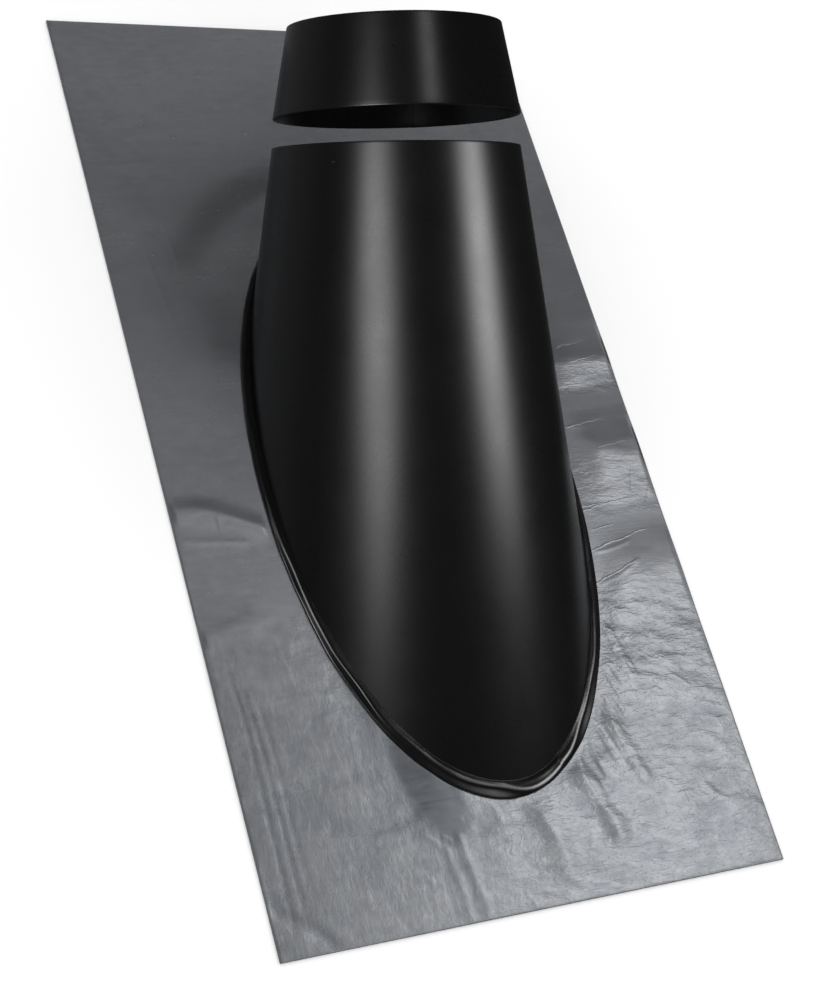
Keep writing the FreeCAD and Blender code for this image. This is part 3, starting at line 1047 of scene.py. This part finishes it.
softbox("left_strip", (-1.29, -0.20, 1.42), (-0.08, 0.0, 0.14), (-0.38, 1, -0.02), 1.12, 1.30, 8.0,
        (0.5, 0.5), (0.35, 0.30), [cone_ob, band_ob])
softbox("left_strip_high", (-1.47, -0.20, 1.38), (-0.08, 0.0, 0.14), (-0.34, 1, -0.02), 1.14, 1.30, 8.4,
        (0.5, 0.5), (0.35, 0.30), [collar_ob])
softbox("right_strip", (1.19, -0.30, 1.48), (0.013, 0.03, 0.18), (0.17, 1, 0.25), 1.22, 0.94, 11.3,
        (0.5, 0.5), (0.36, 0.15), [cone_ob, band_ob])
softbox("top_strip", (0.15, 0.15, 2.05), (-0.02, 0.23, 0.26), (0.3, 1, 0.0), 0.58, 0.45, 6.0,
        (0.5, 0.5), (0.3, 0.3), [collar_ob])


def studio_ceiling(only):
    """What the sheet mirrors: a dim ceiling with a bright box low on the right.

    The panel hangs 1.5 m up; x and y below are metres in the part's frame.
    """
    x0, x1, y0, y1 = -7.0, 9.0, -7.2, 8.8
    w, l = x1 - x0, y1 - y0
    ld = bpy.data.lights.new("ceiling", "AREA")
    ld.shape = "RECTANGLE"
    ld.size, ld.size_y = w, l
    ld.energy = 4.0 * w * l
    ld.use_nodes = True
    nt = ld.node_tree
    em = next(n for n in nt.nodes if n.type == "EMISSION")
    geo = nt.nodes.new("ShaderNodeNewGeometry")
    sep = nt.nodes.new("ShaderNodeSeparateXYZ")
    nt.links.new(geo.outputs["Parametric"], sep.inputs[0])
    X = map_range(nt, sep.outputs["X"], 0.0, 1.0, x0, x1)
    Y = map_range(nt, sep.outputs["Y"], 0.0, 1.0, y0, y1)
    mul = lambda a, b: math_node(nt, "MULTIPLY", a, b)
    add = lambda a, b: math_node(nt, "ADD", a, b)
    up = lambda v, a, b, lo=0.0, hi=1.0: map_range(nt, v, a, b, lo, hi, True)
    # far end, then a dim band, then the nearer ceiling
    far = up(Y, 1.28, 1.34, 0.0, 0.158)
    dim = mul(mul(up(X, 0.85, 1.25, 0.028, 0.065), up(Y, 1.34, 1.28)), up(Y, 0.55, 0.80))
    near = up(Y, 0.87, 0.58, 0.0, 0.25)
    nearer = mul(up(Y, 0.50, -0.25, 0.0, 0.15), up(X, 0.25, 0.75, 0.45, 1.0))
    base = add(add(far, dim), add(near, nearer))
    # left of a slanting edge the dim band is lit
    line = add(X, mul(Y, 1.0 / 3.8))
    wedge = mul(mul(up(line, 0.695, 0.650), up(Y, 1.27, 0.85, 0.03, 0.16)), up(Y, 0.62, 0.84))
    base = add(base, wedge)
    # the room is darker past the sheet's left side
    base = mul(base, up(X, -0.10, 0.42, 0.30, 1.0))
    # a small lit thing low on the left
    spot = mul(mul(up(X, 0.30, 0.36), up(X, 0.53, 0.44)), mul(up(Y, 0.28, 0.33), up(Y, 0.43, 0.38)))
    base = add(base, mul(spot, 0.34))
    # a dark gap beside the bright box
    gap = mul(mul(up(X, 0.55, 0.62), up(X, 0.800, 0.780)), mul(up(Y, 0.30, 0.10), up(Y, -0.14, -0.04)))
    base = mul(base, add(1.0, mul(gap, -0.60)))
    box = mul(mul(up(X, 0.785, 0.815), up(X, 1.95, 1.75)), mul(up(Y, -0.80, -0.60), up(Y, 0.41, 0.385)))
    glow = mul(mul(up(X, 0.80, 1.20, 0.72, 1.0), up(X, 1.70, 1.05, 0.50, 1.0)), up(Y, -0.55, -0.10, 0.75, 1.0))
    total = add(mul(base, add(1.0, mul(box, -1.0))), mul(mul(box, glow), 1.22))
    # beyond them an even grey room
    inside = mul(mul(up(X, -1.10, -0.60), up(X, 3.10, 2.60)), mul(up(Y, -1.80, -1.30), up(Y, 3.40, 2.90)))
    total = add(mul(total, inside), mul(add(1.0, mul(inside, -1.0)), 0.27))
    nt.links.new(total, em.inputs["Strength"])
    ob = bpy.data.objects.new("ceiling", ld)
    scene.collection.objects.link(ob)
    ob.location = (0.5 * (x0 + x1), 0.5 * (y0 + y1), 1.5)
    ob.visible_camera = False
    ob.visible_diffuse = False
    col = bpy.data.collections.new("ceiling_on")
    for o in only:
        col.objects.link(o)
    ob.light_linking.receiver_collection = col
    shade = bpy.data.collections.new("ceiling_shade")
    for o in (apron_ob, band_ob):
        shade.objects.link(o)
    ob.light_linking.blocker_collection = shade
    return ob


studio_ceiling([apron_ob])
cone_ob.visible_glossy = False
